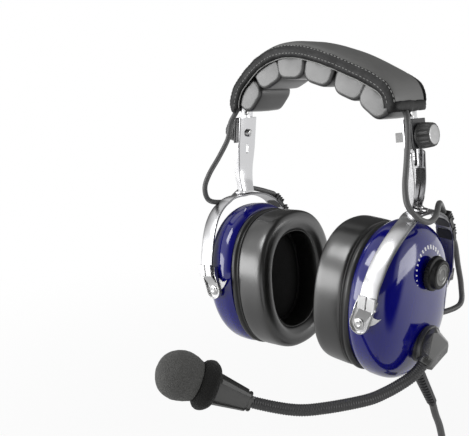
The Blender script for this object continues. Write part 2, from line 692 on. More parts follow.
stitch_pitch, stitch_share = 3.1, 0.66
hem_section = [(0.2, -4.4), (1.3, -5.3), (2.4, -4.8), (3.0, -2.9), (3.1, -0.4), (3.0, 1.2), (2.6, 2.6),
               (2.0, 3.3), (1.2, 2.6), (0.6, -1)]
hems, pipings, stitches = [], [], []
for side_y in (-1, 1):
    rings = [[hem_point(side_y, s, out, up) for out, up in hem_section]
             for s in np.linspace(-half_len - 1.6, half_len + 1.6, 180)]
    pts, faces = lofted(rings)
    hems.append((ruffle(ruffle(pts, 7, 0.55, 3), 2.6, 0.22, 6), faces))
    edge = np.array([hem_point(side_y, s, 1.5, -5.6) for s in np.linspace(-half_len - 1, half_len + 1, 150)])
    pipings.append(tube(ruffle(edge, 9, 0.3, 5), 0.42, 8))
    for out, up in ((2.45, 2.95), (3.0, -2.1)):
        run = [hem_point(side_y, s, out, up) for s in np.linspace(-half_len, half_len, 400)]
        run = ruffle(evenly(np.array(run), stitch_pitch), 7, 0.4, 3)
        stitches += [stitch(a, a + (b - a)*stitch_share) for a, b in zip(run, run[1:])]
# Binding folded round each end
for end in (-1, 1):
    s = end*(half_len + 1.2)
    line = [on_cover(s, y, h) for y, h in cover_section(s)[:27]]
    line = evenly(np.array(line), 1.0)
    a, b, t = frames(line)
    way = raked([end*cos(radians(90 - arm_lean)), 0, -sin(radians(90 - arm_lean))])
    rings = []
    for i, q in enumerate(line):
        out = unit(np.cross(t[i], way))
        out = out if out @ (q - line.mean(axis=0)) > 0 else -out
        rings.append([q + out*(0.2 + 1.35*cos(w)) + way*(0.4 + 3.4*sin(w))
                      for w in (2*pi*k/12 for k in range(12))])
    pts, faces = lofted(rings)
    hems.append((ruffle(ruffle(pts, 7, 0.6, 8), 2.6, 0.2, 2), faces))
    run = evenly(line, stitch_pitch)
    c = line.mean(axis=0)
    for i in range(1, len(run) - 2):
        up = unit(run[i] - c)
        up = unit(up - way*(up @ way))
        a = run[i] + up*1.1 - way*2.4
        b = run[i] + (run[i + 1] - run[i])*stitch_share + up*1.1 - way*2.4
        stitches.append(stitch(a, b))
piece("cover_hem", *joined(*hems), hem_leather, "headband", "cover_leather", smooth=60)
piece("cover_piping", *joined(*pipings), thread, "headband", "cover_leather", smooth=80)
piece("cover_stitches", *joined(*stitches), thread, "headband", "cover_leather", smooth=80)

liner_rings = []
for s in np.linspace(-pad_reach, pad_reach, 70):
    w, y0 = (pad_w - 18)/2, pad_back - 4
    corners = []
    for d, y in ((liner_face, -w + 0.8), (liner_face + 0.6, -w), (-liner_in - 0.6, -w), (-liner_in, -w + 0.8),
                 (-liner_in, w - 0.8), (-liner_in - 0.6, w), (liner_face + 0.6, w), (liner_face, w - 0.8)):
        p = path_at(s, d)
        corners.append(raked([p[0], y0 + y, p[1]]))
    liner_rings.append(corners)
o = piece("pad_backing", *lofted(liner_rings), dark_fabric, "headband", "pad_fabric", ["pad_liner"],
          smooth=50)

cell_n = 6
cell_pitch = 2*pad_reach/cell_n
cell_half, cell_k = 0.42*cell_pitch, 2.6


def cell_top(x):
    return -pad_h/2*(1 - max(1 - (abs(x)/cell_half)**cell_k, 0)**(1/cell_k))


def cell_seat(s):
    p, u, most = path_at(s, liner_face), band_normal(s), -9.0
    for e in np.linspace(-1, 1, 17):
        q = path_at(s + e*cell_half, liner_face) - p
        most = max(most, cell_top(q[0]*u[1] - q[1]*u[0]) - q[0]*u[0] - q[1]*u[1])
    return 0.2 + most


def cell_shape(s):
    """A leather cell, front to back: a nearly flat panel at each end, rounded corners, full sides."""
    f, b = pad_front(s), pad_rear(s)
    p, u = path_at(s, liner_face - cell_seat(s)), band_normal(s)
    wide, deep, corner, crown = 0.475*cell_pitch, pad_h/2, 2.7, 0.35
    ends = [(crown*(1 - (d - corner)/(deep - corner)), d) for d in (deep - 0.3, 7.4, 6.0, 4.6, 3.4)]
    ends += [(crown + corner*(1 - cos(a)), corner*(1 - sin(a)))
             for a in np.radians([0, 15, 30, 45, 60, 75, 90])]
    length = f + b
    mids = [(x, 0.0) for x in np.linspace(ends[-1][0], length - ends[-1][0], 12)[1:-1]]
    rows = ends + mids + [(length - back, d) for back, d in ends[::-1]]
    rings = []
    for back, d in rows:
        y = -f + back
        belly = 1 - 0.035*(2*back/length - 1)**2
        ring = []
        for i in range(48):
            a = 2*pi*i/48 + pi/48
            c, w = cos(a), sin(a)
            k = 6 if w > 0 else 4.2
            cc, ww = np.sign(c)*abs(c)**(2/k), np.sign(w)*abs(w)**(2/k)
            half = (wide - d)*belly*(1 - 0.27*abs(ww)**1.2 if w < 0 else 1)
            drop = (deep - d)*belly if w < 0 else deep - 0.35*d
            x, z = half*cc, -deep + drop*ww
            ring.append(raked([p[0] + x*u[1] + z*u[0], y, p[1] - x*u[0] + z*u[1]]))
        rings.append(ring)
    return lofted(rings)


for i in range(cell_n):
    s = (i - (cell_n - 1)/2)*cell_pitch
    pts, faces = cell_shape(s)
    pts = ruffle(pts, 16, 0.22, i*3.1)
    o = piece(f"pad_cell_{i + 1}", pts, faces, cell_leather, "headband", "cell_leather",
              ["pad_cells"] if i == 0 else (), smooth=70)

# ---- Ear cups ----

def seal_line():
    """Closed line of the seal's section: depth from its face, distance in from its outside."""
    t, w = seal_t, seal_ring
    p = [[t - 0.1, 1.4], [t - 1.2, 0.4], [t*0.8, 0.05], [t*0.5, 0], [t*0.28, 0.05], [t*0.15, 0.5], [1.9, 1.5],
         [0.7, 3.2],
         [0.1, 5.6], [0, 8], [0.4, w*0.66], [1.8, w*0.8], [4.2, w*0.92], [t*0.36, w], [t*0.6, w - 0.3],
         [t - 3, w - 1.4], [t - 0.1, w - 2]]
    q = [vec(*x) for x in p]
    return spline([q[0] - [-1, 0]] + q + [q[-1] - [-1, 0]], 4)


def loop(section, a, b, k, n=144):
    rings = []
    for i in range(n):
        c, s = cos(2*pi*i/n), sin(2*pi*i/n)
        rings.append([[p[0], np.sign(c)*(a - p[1])*abs(c)**(2/k), np.sign(s)*(b - p[1])*abs(s)**(2/k)]
                      for p in section])
    return lofted(rings, closed=True)


shell_steps = [0, 0.01, 0.025, 0.04, 0.07, 0.1, 0.15, 0.21, 0.3, 0.38, 0.45, 0.52, 0.59, 0.65, 0.71, 0.76,
               0.8, 0.84, 0.87, 0.9, 0.925, 0.945, 0.96, 0.972, 0.982, 0.99, 0.996, 0.999]


def shell_size(v):
    return 0.945 + 0.055*sin(pi/2*v/0.21) if v < 0.21 else (1 - ((v - 0.21)/0.79)**3.5)**0.38


def shell_ring(v, inset):
    k = shell_size(v)
    return oval(shell_x + v*(shell_d - inset), (shell_w/2 - inset)*k, (shell_h/2 - inset)*k, 2.12, 1.5, 120)


def shell_at(y, z):
    """Depth of the shell's outer surface over a point of its crown."""
    low, high = 0.0, 0.9999
    for _ in range(40):
        v = (low + high)/2 if low < high else low
        k = shell_size(max(v, 0.21))
        c = (abs(y)/(shell_w/2*k))**2.12 + (abs(z - 1.5)/(shell_h/2*k))**2.12
        if c < 1:
            low = v
        else:
            high = v
    return shell_x + low*shell_d


rim_in, cup_k = 9, 2.35
rim_section = rounded([(seal_t, 4), (seal_t, 1.2), (seal_t + 0.8, 0.8), (seal_t + 1.6, 1.7),
                       (seal_t + 2.4, 1.8),
                       (seal_t + rim_t - 4.4, 0.4), (seal_t + rim_t - 3, 0), (seal_t + rim_t - 1.4, 0.3),
                       (seal_t + rim_t - 0.2, 1.6), (seal_t + rim_t, 4), (seal_t + rim_t, rim_in),
                       (seal_t, rim_in), (seal_t, 4.1)], 0.6, 3)
for s, side in sides.items():
    body = "cup_" + side
    pts, faces = loop(seal_line(), seal_w/2, seal_h/2, cup_k)
    o = piece("seal_" + side, to_cup(ruffle(pts, 30, 0.16, s*5.0), s), faces, seal_leather, body,
              "seal_leather", ["ear_seal_" + side], smooth=70)
    welt = [[seal_t*0.2 + 0.34*cos(a), seal_ring*0.935 + 0.34*sin(a)] for a in (2*pi*k/8 for k in range(8))]
    welt = placed(loop(welt, seal_w/2, seal_h/2, cup_k), to_cup, s)
    piece("seal_welt_" + side, *welt, welt_vinyl, body, "seal_leather", smooth=80)
    rim = placed(loop(rim_section, rim_w/2, rim_h/2, cup_k), to_cup, s)
    piece("rim_" + side, *rim, rim_rubber, body, "seal_leather", ["cup_rim_" + side], smooth=50)
    skins = [shell_ring(v, shell_wall) for v in shell_steps[::-1]] + [shell_ring(v, 0) for v in shell_steps]
    piece("shell_" + side, *placed(lofted(skins), to_cup, s), blue_paint, body, "blue_shell",
          ["cup_shell_" + side], smooth=60)
    cushion = []
    for k, x in ((0.2, 22.6), (0.6, 22.4), (0.85, 22.5), (0.95, 22.9), (1.0, 23.6), (1.0, 25.2),
                 (0.97, 25.9)):
        cushion.append(oval(x, (seal_w/2 - seal_ring - 1.2)*k, (seal_h/2 - seal_ring - 1.2)*k, cup_k, 0, 72))
    pts, faces = lofted(cushion)
    o = piece("cup_foam_" + side, to_cup(ruffle(pts, 9, 0.2), s), faces, dark_fabric, body, "ear_foam",
              ["foam_liner_" + side], smooth=60)

# ---- Boom and microphone ----
boss_top = crown_x + 0.4
housing_x = boss_top + gap
boom_split, boom_end = vec(52, -70, -58.5), vec(19, -105, -50)
inner_line = spline([[92.3, -6.6, -30], [91.4, -8, -33.6], [90.4, -9.8, -37], [88.4, -13, -41.8],
                     [85.4, -17.4, -46.6],
                     [80.8, -23.8, -51], [75, -34, -55], [68, -47, -57.5], boom_split, [38, -86, -58]], 12)
outer_line = spline([[68, -47, -57.5], boom_split, [38, -86, -57.5], boom_end, [5, -121, -40]], 12)
boom_line = evenly(np.concatenate([inner_line, outer_line[1:]]), 0.42)
rib = [4.0, 4.0, 3.72, 3.72]
neck = piece("boom_gooseneck", *tube(boom_line, [rib[i % 4] for i in range(len(boom_line))], 20), boom_rubber,
             None, "boom_rubber", ["boom_tube_inner", "boom_tube_outer"], smooth=50)
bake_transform(neck)


def hull(points):
    """Flat-sided solid round the points, with its flat faces whole."""
    bm = bmesh.new()
    verts = [bm.verts.new(q) for q in points]
    made = bmesh.ops.convex_hull(bm, input=verts)
    bmesh.ops.delete(bm, geom=made["geom_interior"] + made["geom_unused"], context="VERTS")
    bmesh.ops.dissolve_limit(bm, angle_limit=radians(4), verts=bm.verts, edges=bm.edges)
    bm.verts.index_update()
    out = np.array([v.co[:] for v in bm.verts]), [[v.index for v in f.verts] for f in bm.faces]
    bm.free()
    return out


# Housing on the turning disc: a slanted kite on top, flat flanks, and a collar where the tube leaves
disc_r, disc_top = 14.2, housing_x + 3.6
kite = [(75.3, -1.4, -13.6), (75.3, -7.4, -11.7), (76.7, -14.2, -25.7), (77.1, -9.9, -29.5),
        (76.6, 11.8, -24.9)]
flank = [(75.0, 15.0, -25.5), (75.4, 15.5, -28.4), (75.6, 14.4, -33.0), (74.6, -4.2, -40.2),
         (73.2, -8.2, -38.6)]
foot_ring = [(disc_top - 0.6, boom_y + 13.6*cos(a), boom_z + 13.6*sin(a))
             for a in (2*pi*k/11 for k in range(11))]
block = hull(kite + flank + foot_ring)
turntable = along_x(lathe(rounded([(0, 0), (disc_r - 0.5, 0), (disc_r, 0.6), (disc_r, 3.0),
                                   (disc_r - 0.7, 3.6), (0, 3.6)],
                                  0.4, 3), 72), housing_x, boom_y, boom_z)
shape = joined(block, turntable)
o = piece("boom_housing_cover", to_cup(shape[0]), shape[1], boom_plastic, "boom", "black_plastic",
          ["boom_housing"], smooth=25)
edged(o, 0.45, 3, 14)
collar_at = vec(90.2, -10.1, -37.6)
collar_way = unit(vec(88.4, -13, -41.8) - vec(91.4, -8, -33.6))
a = unit(np.cross(collar_way, [0, 0, 1]))
b = np.cross(collar_way, a)
ring = lathe(rounded([(4.0, -4), (5.2, -4), (5.4, 0.6), (5.1, 1.3), (4.3, 1.4), (4.05, 0.8), (4.0, -3.9)],
                     0.2, 2), 48)
pts = np.array([collar_at + q[0]*a + q[1]*b + q[2]*collar_way for q in ring[0]])
piece("boom_collar", pts, ring[1], boom_plastic, "boom", "black_plastic", smooth=35)

mic_dir = unit([-29, -37, 25.7])


def to_mic(v):
    p = turn_y(v, np.degrees(acos(mic_dir[2])))
    return turn_z(p, np.degrees(atan2(mic_dir[1], mic_dir[0]))) + boom_end


body_l = 27


def slab(rings):
    """Skin through four-cornered rings given as (z, half width, half height, corner)."""
    out = []
    for z, w, h, c in rings:
        ring = []
        for sx, sy in ((1, 1), (-1, 1), (-1, -1), (1, -1)):
            turn = (0, 1) if sx*sy > 0 else (1, 0)
            pts = [(w*sx - (c*sx if t == 0 else 0), h*sy - (c*sy if t == 1 else 0)) for t in turn]
            ring += [vec(x, y, z) for x, y in pts]
        out.append(ring)
    return lofted(out)


shape = slab([(0.3, 4.8, 4.4, 1.2), (0.9, 5.6, 5.1, 1.4), (2.6, 5.7, 5.2, 1.4), (2.9, 5.2, 4.8, 1.3),
              (3.4, 5.2, 4.8, 1.3),
              (3.7, 6.2, 5.6, 1.5), (body_l - 1.5, 9.4, 7.4, 2.4), (body_l, 8.9, 7.0, 2.2)])
o = piece("mic_housing", to_mic(shape[0]), shape[1], boom_plastic, "microphone", "black_plastic",
          ["mic_body"], smooth=20)
edged(o, 0.35)

capsule_d, collar_d, collar_t, foam_d, foam_l = 12, 33, 12, 32, 28
w = collar_d/2
collar = [(capsule_d/2 - 1, 0.6)]
for k in range(25):
    a = radians(-90 + 7.5*k)
    collar.append((w - collar_t/2 + collar_t/2*cos(a), collar_t/2 + collar_t/2*sin(a)))
collar += [(capsule_d/2 - 1, collar_t - 0.4)]
shape = lathe(collar, 72)
pts = ruffle(ruffle(shape[0], 9, 0.5, 2), 2.2, 0.22, 4) + [0, 0, body_l + 0.02]
o = piece("foam_ring", to_mic(pts), shape[1], ring_foam, "microphone", "mic_foam", ["foam_collar"], smooth=80)

muff = [(0, 0.2), (6, 0), (foam_d/2 - 4.5, 0.0), (foam_d/2 - 3, 0.5), (foam_d/2 - 2.5, 1.6)]
tip = foam_l - foam_d/2
for k in range(1, 8):
    muff.append((foam_d/2 - 2.5 + 2.5*sin(pi/2*k/8), 1.6 + (tip - 1.6)*k/8))
for k in range(21):
    a = pi/2*k/20
    muff.append((foam_d/2*cos(a), tip + foam_d/2*sin(a)))
muff[-1] = (0.05, foam_l)
shape = lathe(muff, 72)
pts = ruffle(ruffle(shape[0], 11, 0.5, 7), 2.2, 0.22, 9) + [0, 0, body_l + collar_t + 0.04]
o = piece("foam_muff", to_mic(pts), shape[1], open_foam, "microphone", "mic_foam", ["mic_foam"], smooth=80)

# ---- Volume knob ----
knob = rounded([(0, 0.9), (vol_r - 0.6, 0.9), (vol_r, 1.5), (vol_r - 0.1, 3.9), (vol_r - 0.9, 4.5),
                (10.4, 4.6), (10.1, 5.0), (9.9, vol_h - 0.9), (9.2, vol_h), (8.0, vol_h), (7.6, vol_h - 0.5),
                (0, vol_h - 0.5)], 0.35, 3)


def knurl(r, z, a):
    return 0.28*max(0.0, cos(30*a)) if 1.6 < z < 3.8 and r > 11 else 0.0


shape = along_x(lathe(knob, 180, knurl), crown_x, vol_y, vol_z)
o = piece("volume_knob_body", to_cup(shape[0]), shape[1], dial_plastic, "volume_knob", "knob_plastic",
          ["volume_knob"], smooth=35)
dish = rounded([(0, vol_h - 0.6), (7.5, vol_h - 0.6), (7.5, vol_h - 0.1), (6.7, vol_h), (6.2, vol_h - 0.35),
                (4.4, vol_h - 0.4), (4.2, vol_h - 0.2), (3.6, vol_h - 0.2), (3.3, vol_h - 0.4),
                (0, vol_h - 0.42)], 0.15, 2)
shape = along_x(lathe(dish, 72), crown_x, vol_y, vol_z)
piece("volume_knob_dish", to_cup(shape[0]), shape[1], dish_metal, "volume_knob", "rivet_steel", smooth=30)

# Plain marks round the volume knob
marks = []
for k in range(15):
    a = radians(200 - 12.5*k)
    r0, r1 = 15.2, 16.2 + 0.17*k
    wide = 0.36 + 0.05*k
    quad = []
    for r, side_off in ((r0, -wide), (r1, -wide), (r1, wide), (r0, wide)):
        y, z = vol_y + r*cos(a) - side_off*sin(a), vol_z + r*sin(a) + side_off*cos(a)
        quad.append((y, z))
    low = [vec(shell_at(y, z) - 0.05, y, z) for y, z in quad]
    high = [vec(shell_at(y, z) + 0.06, y, z) for y, z in quad]
    marks.append((np.array(low + high), block_faces))
shape = joined(*marks)
piece("volume_marks", to_cup(shape[0]), shape[1], white_print, "cup_left", "blue_shell")

# ---- Clamps: fluted knobs with metal faces, and blocks ----
block_h, block_w, block_t, plate_t = 19, 16, 3, 1.5
block_x = band_off + band_t/2 + 0.2
knob_x = block_x + block_t + plate_t
knob_r, face_r = 8.6, 7.2


def box(x0, x1, y0, y1, z0, z1):
    pts = [vec(x, y, z) for z in (z0, z1) for x, y in ((x0, y0), (x1, y0), (x1, y1), (x0, y1))]
    return np.array(pts), [[3, 2, 1, 0], [4, 5, 6, 7], [0, 1, 5, 4], [1, 2, 6, 5], [2, 3, 7, 6], [3, 0, 4, 7]]


for s, side in sides.items():
    rings = []
    rows = [(0.3, 5.0, 0), (0.3, knob_r - 0.7, 0), (0.7, knob_r - 0.2, 0), (1.1, knob_r, 0), (2.4, knob_r, 0),
            (2.7, knob_r - 0.2, 0.5), (3.1, knob_r - 0.1, 1), (4.5, knob_r - 0.2, 1), (6, knob_r - 0.35, 1),
            (8, knob_r - 0.6, 1), (9.4, knob_r - 0.8, 1), (10.0, knob_r - 1.0, 0.8),
            (10.4, face_r - 0.1, 0.3),
            (10.5, face_r - 0.4, 0), (10.3, face_r - 0.9, 0), (10.3, 3, 0)]
    for x, r, deep in rows:
        ring = []
        for k in range(168):
            a = 2*pi*k/168
            groove = max(0.0, cos(14*a))**1.5
            ring.append(vec(x, (r - 0.95*deep*groove)*cos(a), (r - 0.95*deep*groove)*sin(a)))
        rings.append(ring)
    pts, faces = lofted(rings)
    piece("clamp_knob_grip_" + side, to_clamp(pts + [knob_x, 0, 0], s), faces, knob_plastic, "knob_" + side,
          "knob_plastic", ["clamp_knob_" + side], smooth=32)
    cap = lathe(rounded([(0, 9.9), (face_r - 1.0, 9.9), (face_r - 0.75, 10.45), (face_r - 1.2, 10.6),
                         (0.9, 10.62), (0, 10.5)], 0.15, 2), 72)
    cap = along_x(cap, knob_x)
    piece("clamp_knob_face_" + side, to_clamp(cap[0], s), cap[1], face_metal, "knob_" + side, "rivet_steel",
          smooth=30)
    lid = box(block_x, block_x + block_t, -block_w/2, block_w/2, -block_h/2 + 1.5, block_h/2 + 1.5)
    plate = box(block_x + block_t + 0.05, knob_x, -block_w/2 - 0.4, block_w/2 + 0.4, -block_h/2 + 1.1,
                block_h/2 + 1.9)
    screw = along_x(lathe([(0, 0), (2.5, 0), (2.5, 6), (0, 6)], 32), knob_x - 3)
    o = piece("clamp_body_" + side, *placed(joined(lid, plate, screw), to_clamp, s), black_plastic, "arm_"
              + side, "black_plastic", ["clamp_block_" + side], smooth=30)
    edged(o, 0.45, 3)
    if s > 0:
        lug = joined(box(-9, -0.1, -3.1, 3.1, -3.1, 3.1),
                     along_x(lathe(rounded([(0, 0), (2.1, 0), (2.1, 0.8), (0, 0.8)], 0.2, 2), 32), -9.7))
    else:
        lug = along_x(lathe(rounded([(0, -3), (1.1, -3), (1.2, -2.6), (1.9, -2.6), (3.1, -1.6), (3.1, -0.1),
                                     (0, -0.1)],
                                    0.3, 3), 40))
    finish, slot = (boom_plastic, "black_plastic") if s > 0 else (rivet_steel, "rivet_steel")
    o = piece("clamp_lug_" + side, *placed(lug, to_clamp, s), finish, "arm_" + side, slot, smooth=35)
    edged(o, 0.4, 3)

# ---- Slider arms: a slotted channel that bows down to a foot ----
slot_top, slot_end = -8.5, -16.5


def on_arm(along, n):
    """Point of an arm at a distance down from its clamp, n outward of its inner face, as (x, z)."""
    if along < arm_straight:
        return n, -along
    a = (along - arm_straight)/arm_bow_r
    return -arm_bow_r + (arm_bow_r + n)*cos(a), -arm_straight - (arm_bow_r + n)*sin(a)


def slot_half(along):
    """Half width of the arm's detent slot: a row of joined round holes."""
    inside = min(along + slot_top, -slot_end - along)
    if inside <= 0.01:
        return 0.05
    return min(1.45, sqrt(inside*(2.9 - min(inside, 1.45)))) - 0.28*abs(sin(pi*(along + slot_top)/2.67))


def arm_section(along):
    low = min(max((along - arm_top)/(arm_end_at - arm_top), 0), 1)
    w = (arm_w + (arm_w_low - arm_w)*low)/2
    rise = min(max((along - 8.3)/3.2, 0), 1)
    deep = arm_t + (arm_flange - arm_t)*sin(pi/2*rise)
    slot = slot_half(along)
    half = [(0, slot), (0, w - 0.9), (0.12, w - 0.4), (0.4, w - 0.12), (0.9, w),
            (max(deep - 0.35, arm_t - 0.1), w),
            (deep, w - 0.35), (deep, w - 1.15), (max(deep - 0.35, arm_t), w - 1.5), (min(2.2, deep), w - 1.5),
            (arm_t, w - 2.3), (arm_t, slot)]
    both = [(n, y) for n, y in half] + [(n, -y) for n, y in half[::-1]]
    return [vec(on_arm(along, n)[0], y, on_arm(along, n)[1]) for n, y in both]


arm_end_at = arm_straight + arm_bow_r*radians(arm_turn)
stations = sorted(set(np.round(np.concatenate([np.linspace(-arm_top, 8.2, 12), np.linspace(8.3, 17, 30),
                                               np.linspace(17.5, arm_end_at, 30)]), 3)))
arm_rings = [arm_section(a) for a in stations]
arm_pts, arm_faces = lofted(arm_rings)
ring_n = len(arm_rings[0])
cut = [i for i in range(len(stations) - 1) if -slot_top <= stations[i] + 0.01
       and stations[i + 1] <= -slot_end + 0.01]
through = {(i*ring_n + ring_n - 1) for i in cut} | {(i*ring_n + ring_n//2 - 1) for i in cut}
arm_faces = [f for f in arm_faces if not (len(f) == 4 and f[0] in through)]
for i in cut:
    for a, b in ((0, ring_n//2 - 1), (ring_n//2, ring_n - 1)):
        arm_faces.append([i*ring_n + a, i*ring_n + b, (i + 1)*ring_n + b, (i + 1)*ring_n + a])
for i in (cut[0], cut[-1] + 1):
    arm_faces.append([i*ring_n + k for k in (0, ring_n//2 - 1, ring_n//2, ring_n - 1)])
foot_end, foot_w = 12.4, arm_w_low/2 - 0.9
foot_rings = []
for x in [-0.3, 0.2, 2, 4, 6, 8, 9, 9.8, 10.6, 11.2, 11.7, 12.1, foot_end]:
    w = foot_w*sqrt(1 - (max(x - 8, 0)/(foot_end - 7.95))**2.6)
    foot_rings.append([vec(x, y, z) for y,
                       z in ((-w, -0.45), (-w + 0.3, -0.75), (w - 0.3, -0.75), (w, -0.45), (w, 0.45),
                                                 (w - 0.3, 0.75), (-w + 0.3, 0.75), (-w, 0.45))])
foot = lofted(foot_rings)
foot_pts = turn_y(turn_y(foot[0], -arm_hook) + [arm_bow_r, 0, 0], arm_lean + stirrup_lean + arm_hook)
foot_pts = foot_pts + [-arm_bow_r, 0, -arm_straight]
channels = {}
for s, side in sides.items():
    shape = joined((arm_pts, arm_faces), (foot_pts, foot[1]))
    channels[side] = piece("arm_channel_" + side, to_clamp(shape[0], s), shape[1], chrome, "arm_" + side,
                           "bright_steel", ["slider_arm_" + side], smooth=34)

# ---- Stirrups: a bowed strip, and a pressed bracket with its tabs at each end ----
pin_at = turn_y(hinge - swivel, -stirrup_lean)
bracket_y, bracket_r = stirrup_half - 3.4, 7.0


def strip_section(w, t, r):
    """A rounded rectangle with points along its faces, as (across, depth)."""
    out = []
    for cx, cd, start in ((w/2 - r, r, -90), (w/2 - r, t - r, 0), (-w/2 + r, t - r, 90), (-w/2 + r, r, 180)):
        out += [(cx + r*cos(radians(start + k)), cd + r*sin(radians(start + k))) for k in (0, 30, 60, 90)]
        if start in (0, 180):
            face = np.linspace(cx, -cx, 9)[1:-1]
            out += [(x, t if start == 0 else 0) for x in face]
    return out


bow_low = degrees(asin((strip_low/stirrup_rise)**(bow_k/2)))
ease, spring, strip_crown = 0.45, 3.4, 0.02


def on_strip(a):
    """Point (x, y, z) of the strip's outer line: the bow's, its front shoulder eased and sprung outward."""
    p, front = on_bow(a), max(-cos(radians(a)), 0)
    k = bow_k - ease*min(front*3, 1)
    c, s = cos(radians(a)), sin(radians(a))
    y, z = np.sign(c)*stirrup_half*abs(c)**(2/k), -stirrup_rise + stirrup_rise*abs(s)**(2/k)
    hold = min(front*3, 1)
    fade = min(max((z + 56)/18, 0), 1)
    y, z = p[0] + (y - p[0])*hold*fade, p[1] + (z - p[1])*hold*fade
    return vec(spring*fade*sin(pi*min(front/0.95, 1)), y, z)


line = np.array([on_strip(a) for a in np.linspace(bow_low, 180 - bow_low, 150)])
along = np.gradient(line, axis=0)
along /= np.linalg.norm(along, axis=1)[:, None]
rings = []
for q, (_, dy, dz) in zip(line, along):
    inward = unit([0, -dz, dy])
    rings.append([q + [x, 0, 0] + inward*(d + strip_crown*x*x) for x,
                  d in strip_section(stirrup_w, stirrup_t, 0.3)])
strip = lofted(rings)


def bracket_outline(inset):
    """The bracket's edge, as (x, z): round below, slightly flared above."""
    out = []
    for k in range(25):
        a = pi + pi*k/24
        out.append((pin_at[0] + (bracket_r - inset)*cos(a), pin_at[2] + (bracket_r - inset)*sin(a)))
    right = [(pin_at[0] + bracket_r + 0.9*u*(-pin_at[0]) + 0.25*u - inset, pin_at[2] + 17.5*u)
             for u in (0.25, 0.5, 0.75, 1)]
    left = [(pin_at[0] - bracket_r + 0.9*u*(-pin_at[0]) - 0.25*u + inset, pin_at[2] + 17.5*u)
            for u in (1, 0.75, 0.5, 0.25)]
    return out + right + left


def bracket_ring(inset, y_low, y_top=None):
    edge = bracket_outline(inset)
    return [vec(x, y_low if y_top is not None and z > -strip_rest else (y_top or y_low), z) for x, z in edge]


strip_rest = stirrup_rise - strip_low - 0.5
for s, side in sides.items():
    o = piece("stirrup_strip_" + side, to_stirrup(strip[0], s), strip[1], satin_steel, "stirrup_" + side,
              "bright_steel", ["stirrup_" + side], smooth=50)
    o.data.materials.append(sheared_steel)
    for f in o.data.polygons:
        f.material_index = int(abs(f.normal.x) > 0.72)
    shapes, rivets = [], []
    for f in (-1, 1):
        ear = s if f < 0 else -s
        y = bracket_y
        tray = lofted([bracket_ring(0.25, y), bracket_ring(0, y + 0.25), bracket_ring(0, y + 1.2, y + 2.7),
                       bracket_ring(0.15, y + 1.25, y + 2.9), bracket_ring(0.6, y + 1.25, y + 2.9),
                       bracket_ring(0.75, y + 1.2, y + 2.7), bracket_ring(0.95, y + 1.15),
                       bracket_ring(2.2, y + 1.1)])
        tabs = []
        for x0, x1 in ((-6.1, -0.55), (0.55, 6.1)):
            tabs.append(box(x0, x1, stirrup_half - 0.05, stirrup_half + 0.85, -57.3, -49.4))
            tabs.append(box(x0, x1, y + 1, stirrup_half + 0.75, -58.1, -57.2))
        rows = [(-58.0, stirrup_half - 0.2, 4.9), (-61, stirrup_half - 0.9, 4.6),
                (-64.5, stirrup_half - 1.8, 4.3),
                (-67, stirrup_half - 2.0, 4.2)]
        shift = [pin_at[0]*min(max((-58 - z)/8, 0), 1) for z, _, _ in rows]
        tongue = lofted([[vec(k + x, yy + d, z) for x, d in ((-w, -0.7), (-w, 0), (w, 0), (w, -0.7))]
                         for (z, yy, w), k in zip(rows, shift)])
        disc = lathe(rounded([(0, -0.8), (4.2, -0.8), (4.2, 0), (0, 0)], 0.2, 2), 40)
        disc = (turn_x(disc[0], -90) + [pin_at[0], stirrup_half - 2.0, pin_at[2]], disc[1])
        x0 = pin_at[0] + ear*bracket_r
        fin = [(x0 - ear*0.5, -60.2), (x0 + ear*3.5, -62.3), (x0 + ear*7, -62.0), (x0 + ear*9.4, -60.6),
               (x0 + ear*7.6, -62.9), (x0 + ear*4.5, -66.2), (x0 - ear*0.3, -69.2)]
        fin_pts = np.array([vec(x, y + 0.6 + d + 0.16*abs(x - x0), z) for d in (0, 0.8) for x, z in fin])
        m = len(fin)
        fin_faces = [list(range(m))[::-1], list(range(m, 2*m))] + [[k, (k + 1) % m, m + (k + 1) % m, m + k]
                                                                   for k in range(m)]
        for pts, faces in [tray, tongue, disc, (fin_pts, fin_faces)] + tabs:
            shapes.append((np.asarray(pts)*[1, f, 1], faces))
        pin = lathe(rounded([(0, 41), (3.5, 41), (3.5, 44.3), (2.2, 44.3), (2.2, y + 1.9), (3.3, y + 1.9),
                             (3.3, y + 2.2),
                             (2.6, y + 2.25), (2.5, y + 3.0), (1.7, y + 3.35), (1.2, y + 3.1), (0, y + 3.1)],
                             0.15, 2), 48)
        rivets.append((turn_x(pin[0], -90)*[1, f, 1], pin[1]))
    shape = joined(*shapes)
    o = piece("bracket_" + side, to_stirrup(shape[0], s), shape[1], rivet_steel, "stirrup_" + side,
              "rivet_steel", ["clip_brackets_" + side], smooth=35)
    edged(o, 0.16, 2, 40)
    shape = joined(*rivets)
    piece("pivot_rivets_" + side, flip(s, raked(shape[0] + hinge)), shape[1], rivet_steel, "cup_" + side,
          "rivet_steel", ["pivot_pins_" + side], smooth=35)

